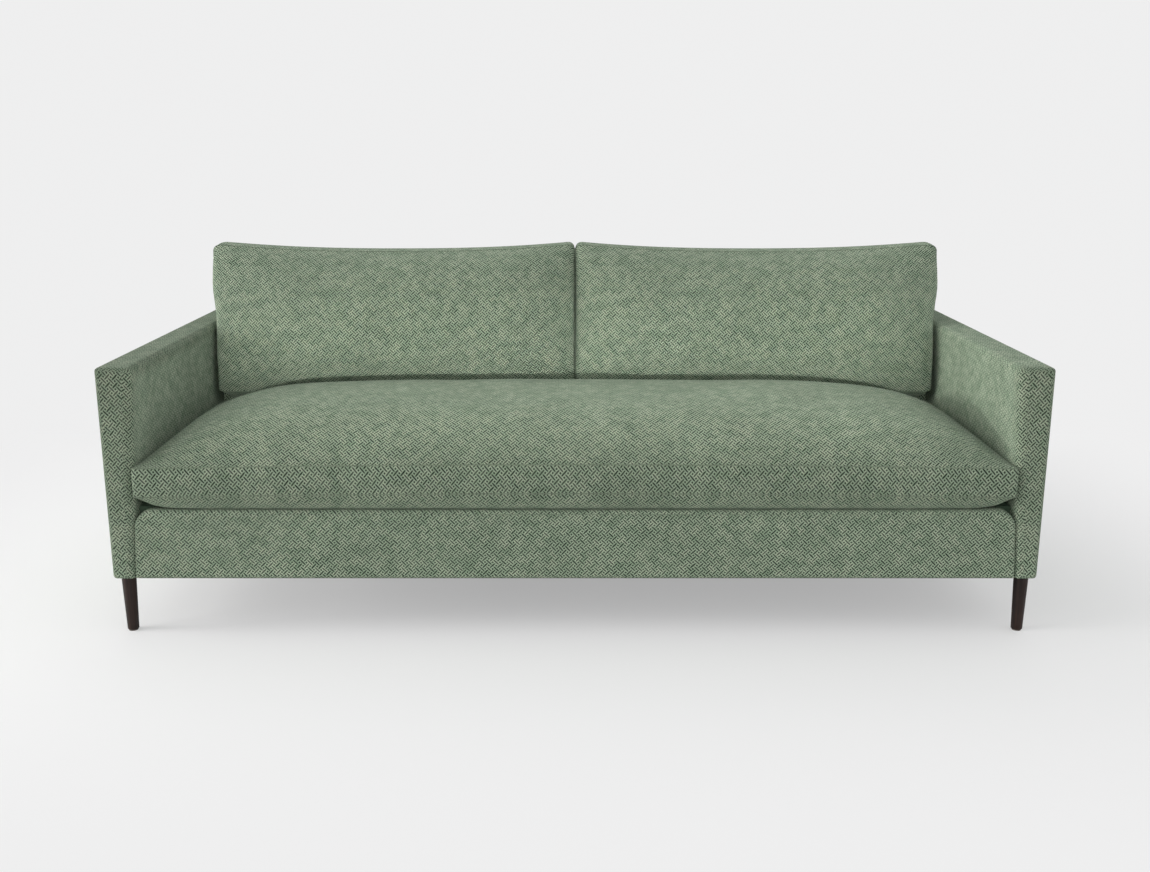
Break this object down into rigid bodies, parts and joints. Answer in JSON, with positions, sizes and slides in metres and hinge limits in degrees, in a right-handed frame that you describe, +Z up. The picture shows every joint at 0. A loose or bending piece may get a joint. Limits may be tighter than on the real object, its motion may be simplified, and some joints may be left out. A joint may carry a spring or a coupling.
{
  "type": "sofa",
  "caption": "Slim-armed upholstered sofa in green basket weave with one long crowned seat cushion, loose back cushions and short tapered dark legs.",
  "frame": {"origin": "on the floor under the centre of the footprint", "axes": "+X to the right of someone who stands in front, +Y to the back, +Z up"},
  "size_m": [2.2, 0.986, 0.8738],
  "materials": {
    "green_weave": "two-tone herringbone basket weave, matte",
    "foam": "open-cell foam",
    "webbing": "elastic woven straps",
    "lining": "plain platform cloth",
    "dust_cloth": "non-woven cloth, matte",
    "felt": "pressed felt",
    "hardboard": "smooth hardboard",
    "frame_timber": "planed, unfinished",
    "leg_timber": "dark stain, satin lacquer",
    "zinc_steel": "zinc plated"
  },
  "bodies": {
    "root": {"arm_cover_left": "green_weave", "arm_padding_left": "foam", "arm_outer_panel_left": "hardboard", "arm_inner_panel_left": "hardboard", "arm_front_post_left": "frame_timber", "arm_rear_post_left": "frame_timber", "arm_middle_post_left": "frame_timber", "arm_top_rail_left": "frame_timber", "arm_bottom_rail_left": "frame_timber", "side_rail_left": "frame_timber", "seat_cross_rail_left": "frame_timber", "back_end_panel_left": "frame_timber", "back_upright_left": "frame_timber", "arm_cover_right": "green_weave", "arm_padding_right": "foam", "arm_outer_panel_right": "hardboard", "arm_inner_panel_right": "hardboard", "arm_front_post_right": "frame_timber", "arm_rear_post_right": "frame_timber", "arm_middle_post_right": "frame_timber", "arm_top_rail_right": "frame_timber", "arm_bottom_rail_right": "frame_timber", "side_rail_right": "frame_timber", "seat_cross_rail_right": "frame_timber", "back_end_panel_right": "frame_timber", "back_upright_right": "frame_timber", "front_rail": "frame_timber", "seat_rear_rail": "frame_timber", "back_bottom_rail": "frame_timber", "back_top_rail": "frame_timber", "back_liner_rail": "frame_timber", "corner_blocks": "frame_timber", "front_border_cover": "green_weave", "inside_back_cover": "green_weave", "outside_back_cover": "green_weave", "front_border_padding": "foam", "deck_padding": "foam", "inside_back_padding": "foam", "seat_webbing_across": "webbing", "seat_webbing_lengthwise": "webbing", "back_webbing": "webbing", "deck_cloth": "lining", "dust_cover": "dust_cloth", "outside_back_panel": "hardboard", "arm_bolts": "zinc_steel", "leg_bolts": "zinc_steel", "legs_front": "leg_timber", "legs_rear": "leg_timber", "foot_glides": "felt"},
    "back_cushion_left": {"back_cushion_left": "green_weave", "back_cushion_core_left": "foam"},
    "back_cushion_right": {"back_cushion_right": "green_weave", "back_cushion_core_right": "foam"},
    "seat_cushion": {"seat_cushion": "green_weave", "seat_cushion_core": "foam"}
  },
  "joints": [
    {"name": "seat_cushion_pull", "type": "slide", "parent": "root", "child": "seat_cushion", "axis": [0, -1, 0], "range_m": [0, 0.35]},
    {"name": "back_cushion_left_lift", "type": "slide", "parent": "root", "child": "back_cushion_left", "axis": [0, 0, 1], "range_m": [0, 0.45]},
    {"name": "back_cushion_right_lift", "type": "slide", "parent": "root", "child": "back_cushion_right", "axis": [0, 0, 1], "range_m": [0, 0.45]}
  ]
}
